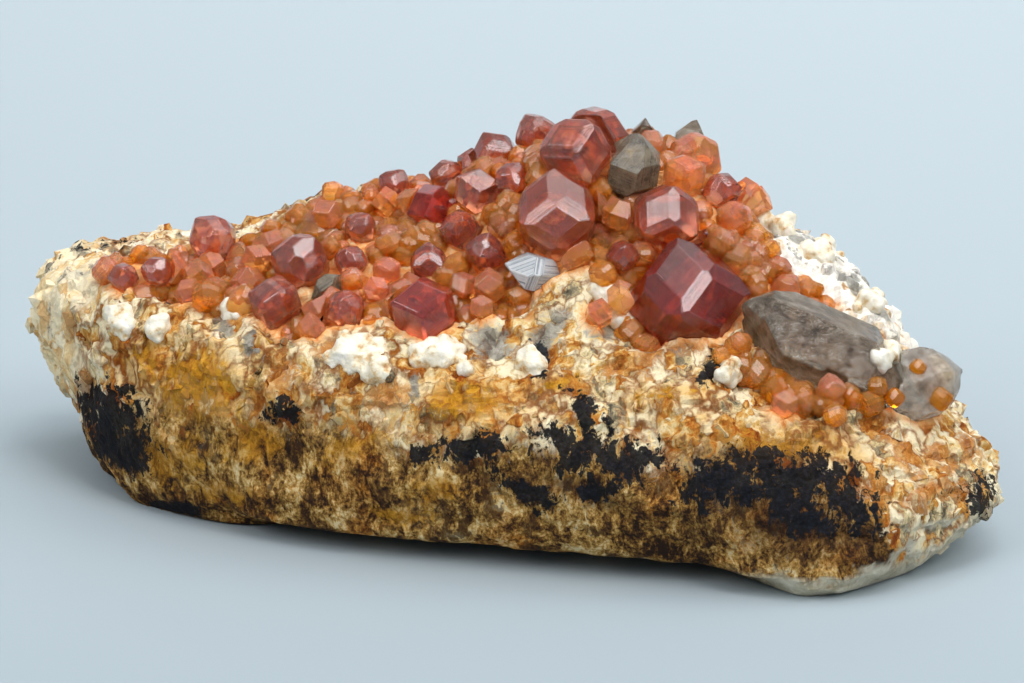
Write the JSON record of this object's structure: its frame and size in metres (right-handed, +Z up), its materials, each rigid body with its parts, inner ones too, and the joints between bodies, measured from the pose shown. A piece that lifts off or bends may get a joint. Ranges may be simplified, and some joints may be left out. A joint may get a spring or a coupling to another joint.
{
  "type": "garnet in matrix",
  "caption": "Hand specimen of orange-red spessartine garnets with smoky quartz on a broken block of albite and quartz rock.",
  "frame": {"origin": "centre of the outline seen from above, on the surface that the specimen rests on", "axes": "+X along the specimen's length to its thin pointed end, +Y from the stained broken front face to the back, +Z up"},
  "size_m": [0.0826, 0.0476, 0.0338],
  "materials": {
    "albite_quartz_rock": "rough broken stone, white to ochre with black and brown stains",
    "garnet": "vitreous crystal faces, orange-red to wine red",
    "fine_garnet": "vitreous small crystals, orange",
    "smoky_quartz": "vitreous crystal, smoky grey"
  },
  "bodies": {
    "root": {"garnet_behind_hero": "garnet", "garnet_crust_far_left": "fine_garnet", "garnet_crust_left": "fine_garnet", "garnet_crust_low_right": "fine_garnet", "garnet_crust_lower_left": "fine_garnet", "garnet_crust_middle": "fine_garnet", "garnet_crust_middle_left": "fine_garnet", "garnet_crust_middle_right": "fine_garnet", "garnet_crust_right": "fine_garnet", "garnet_crust_under_hero": "fine_garnet", "garnet_crust_upper_left": "fine_garnet", "garnet_crust_upper_middle": "fine_garnet", "garnet_front_ledge": "garnet", "garnet_hero": "garnet", "garnet_left_a": "garnet", "garnet_left_b": "garnet", "garnet_left_cap": "garnet", "garnet_left_front": "garnet", "garnet_left_red": "garnet", "garnet_low_a": "garnet", "garnet_peak": "garnet", "garnet_peak_back": "garnet", "garnet_ridge_a": "garnet", "garnet_ridge_b": "garnet", "garnet_ridge_back_left": "garnet", "garnet_ridge_c": "garnet", "garnet_ridge_d": "garnet", "garnet_ridge_dark": "garnet", "garnet_ridge_e": "garnet", "garnet_ridge_grey": "garnet", "garnet_right_a": "garnet", "garnet_right_b": "garnet", "garnet_right_c": "garnet", "garnet_right_d": "garnet", "garnet_right_e": "garnet", "garnet_right_round": "garnet", "garnet_slope_a": "garnet", "garnet_slope_b": "garnet", "garnet_slope_c": "garnet", "garnet_slope_d": "garnet", "garnet_slope_e": "garnet", "garnet_slope_f": "garnet", "garnet_slope_g": "garnet", "garnet_slope_h": "garnet", "garnet_slope_i": "garnet", "garnet_slope_j": "garnet", "garnet_upper_middle": "garnet", "matrix_rock": "albite_quartz_rock", "quartz_striated": "smoky_quartz", "smoky_quartz_end": "smoky_quartz", "smoky_quartz_left": "smoky_quartz", "smoky_quartz_long": "smoky_quartz", "smoky_quartz_peak": "smoky_quartz", "smoky_quartz_tip_left": "smoky_quartz", "smoky_quartz_tip_right": "smoky_quartz"}
  },
  "joints": []
}
